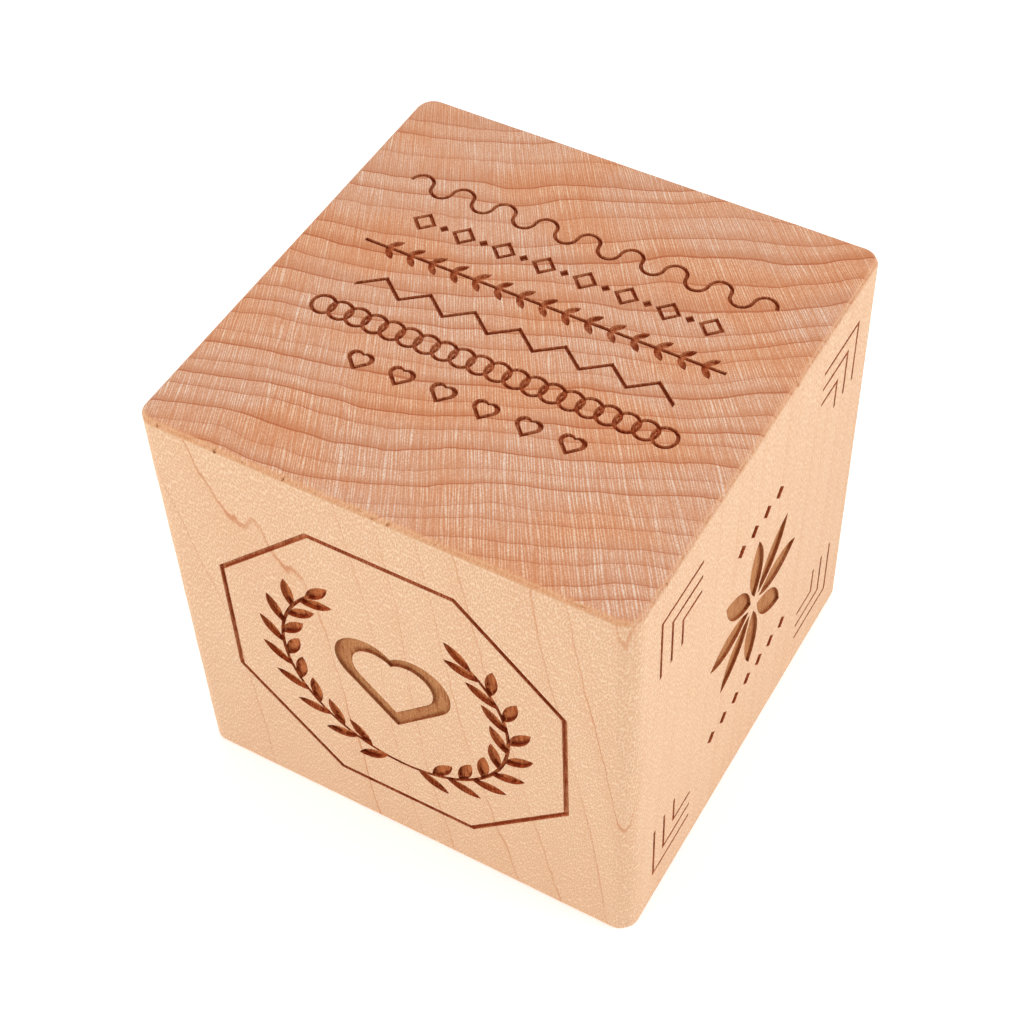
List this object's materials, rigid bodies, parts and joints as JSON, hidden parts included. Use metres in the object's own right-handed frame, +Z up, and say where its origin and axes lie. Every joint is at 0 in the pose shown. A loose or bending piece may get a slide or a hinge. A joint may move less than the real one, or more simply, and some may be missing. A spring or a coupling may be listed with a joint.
{
  "type": "wooden keepsake block",
  "caption": "Solid maple cube with rounded upright edges, end grain on top and engraved ornament on the front, top and right, to stand on a shelf or stack.",
  "frame": {"origin": "middle of the bottom face, on the surface that the block stands on", "axes": "+Z up along the grain, -Y towards the front face, +X towards the right face"},
  "size_m": [0.0636, 0.0636, 0.0635],
  "materials": {
    "maple": "sanded hard maple with a thin oil and wax finish, engraved lines burnt brown"
  },
  "bodies": {
    "root": {"maple_block": "maple"}
  },
  "joints": []
}
